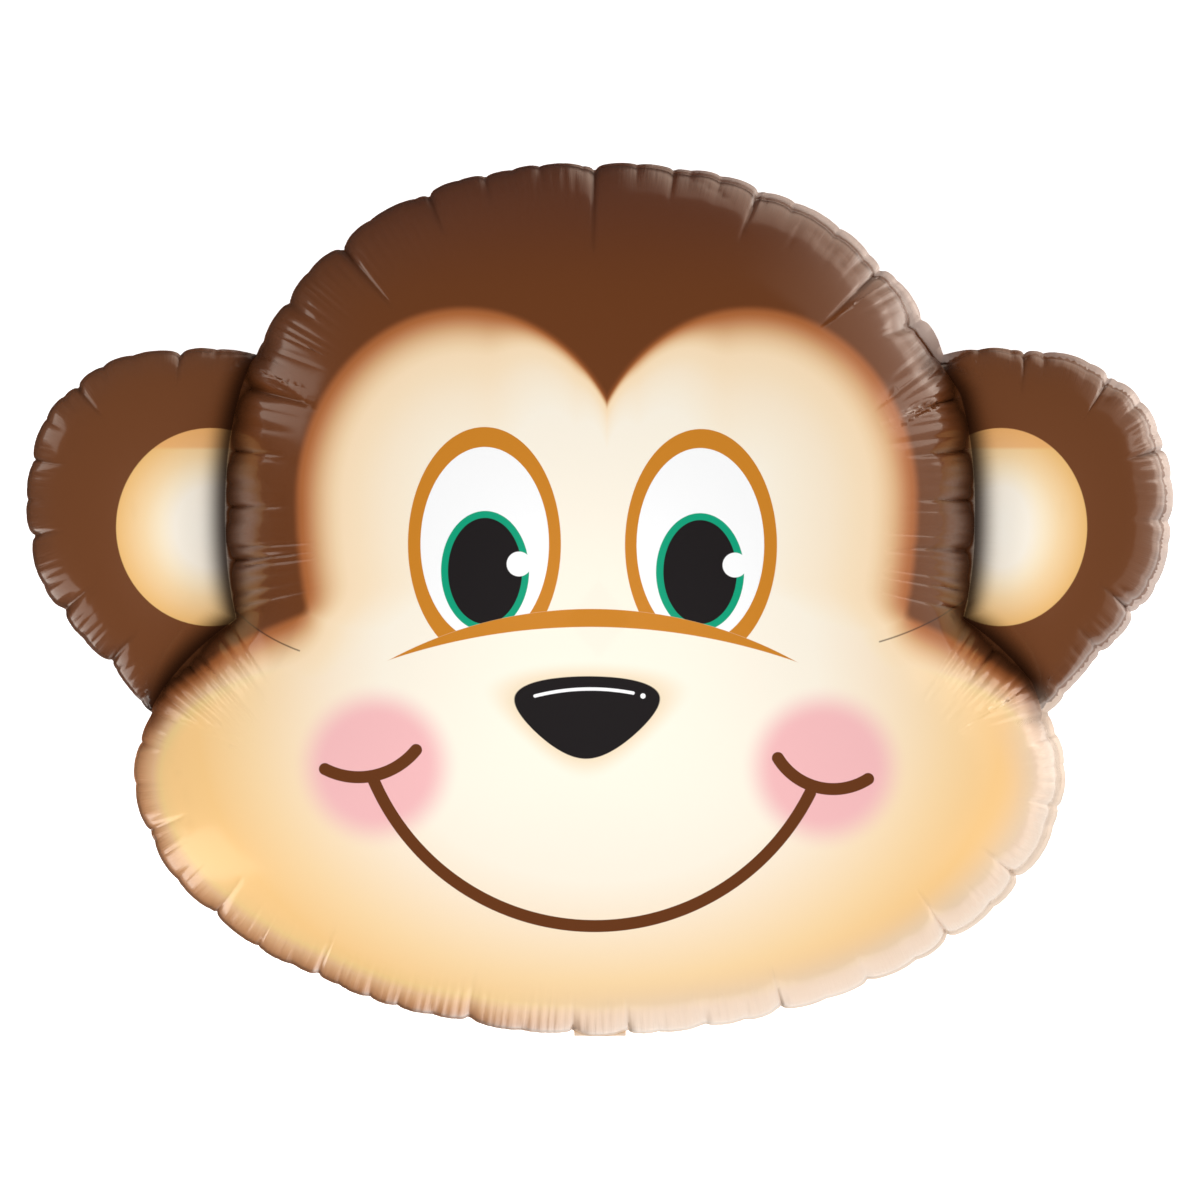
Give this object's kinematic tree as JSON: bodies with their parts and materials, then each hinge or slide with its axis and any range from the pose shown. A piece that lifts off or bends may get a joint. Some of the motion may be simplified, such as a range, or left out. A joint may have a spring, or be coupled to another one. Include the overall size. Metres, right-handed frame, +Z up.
{
  "type": "monkey foil balloon",
  "caption": "Filled foil balloon in the shape of a smiling monkey's head with round ears, lying on its back.",
  "frame": {"origin": "centre of the bounding box's bottom, on the surface that the balloon lies on", "axes": "+X across the face to the right as seen, +Y towards the crown of the head, +Z up, out of the face"},
  "size_m": [0.7422, 0.5682, 0.296],
  "materials": {
    "printed_foil": "glossy printed polyester foil, gathered into fine pleats along its welded seam"
  },
  "bodies": {
    "root": {"foil_balloon": "printed_foil"}
  },
  "joints": []
}
